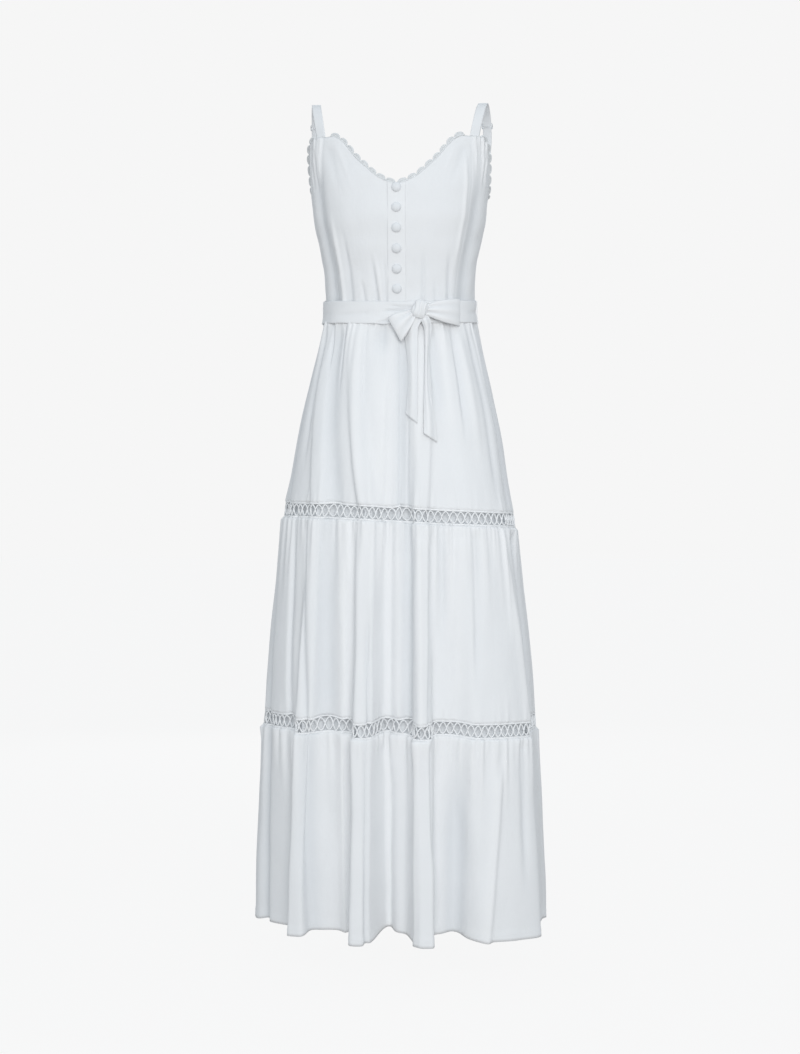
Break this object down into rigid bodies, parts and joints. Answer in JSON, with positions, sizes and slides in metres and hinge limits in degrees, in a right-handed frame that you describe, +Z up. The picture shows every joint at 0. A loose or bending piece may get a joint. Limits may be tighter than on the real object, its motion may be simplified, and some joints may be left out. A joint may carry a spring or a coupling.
{
  "type": "dress",
  "caption": "Sleeveless tiered maxi dress in woven cloth with crochet lace bands, scalloped lace edging, a buttoned bodice and a tied belt.",
  "frame": {"origin": "midway between the undersides of the two shoulder straps, where the dress hangs", "axes": "+Z up, the dress's front towards -Y, +X to the right as seen from the front"},
  "size_m": [0.4834, 0.4058, 1.3511],
  "materials": {
    "cloth": "matt woven cotton",
    "lace": "matt crochet cotton",
    "button_cloth": "cloth covered",
    "slider_metal": "satin"
  },
  "bodies": {
    "root": {"armhole_trim_left": "lace", "armhole_trim_right": "lace", "belt": "cloth", "belt_loop_left": "cloth", "belt_loop_right": "cloth", "bodice_back": "cloth", "bodice_front_left": "cloth", "bodice_front_right": "cloth", "bodice_side_left": "cloth", "bodice_side_right": "cloth", "bow_knot": "cloth", "bow_loop_left": "cloth", "bow_loop_right": "cloth", "bow_tail_long": "cloth", "bow_tail_short": "cloth", "button_1": "button_cloth", "button_2": "button_cloth", "button_3": "button_cloth", "button_4": "button_cloth", "button_5": "button_cloth", "button_6": "button_cloth", "button_placket": "cloth", "lace_band_1_back": "lace", "lace_band_1_front": "lace", "lace_band_2_back": "lace", "lace_band_2_front": "lace", "neck_trim_left": "lace", "neck_trim_right": "lace", "skirt_lower_back": "cloth", "skirt_lower_front": "cloth", "skirt_middle_back": "cloth", "skirt_middle_front": "cloth", "skirt_upper_back": "cloth", "skirt_upper_front": "cloth", "slider_left": "slider_metal", "slider_right": "slider_metal", "strap_left": "cloth", "strap_right": "cloth"}
  },
  "joints": []
}
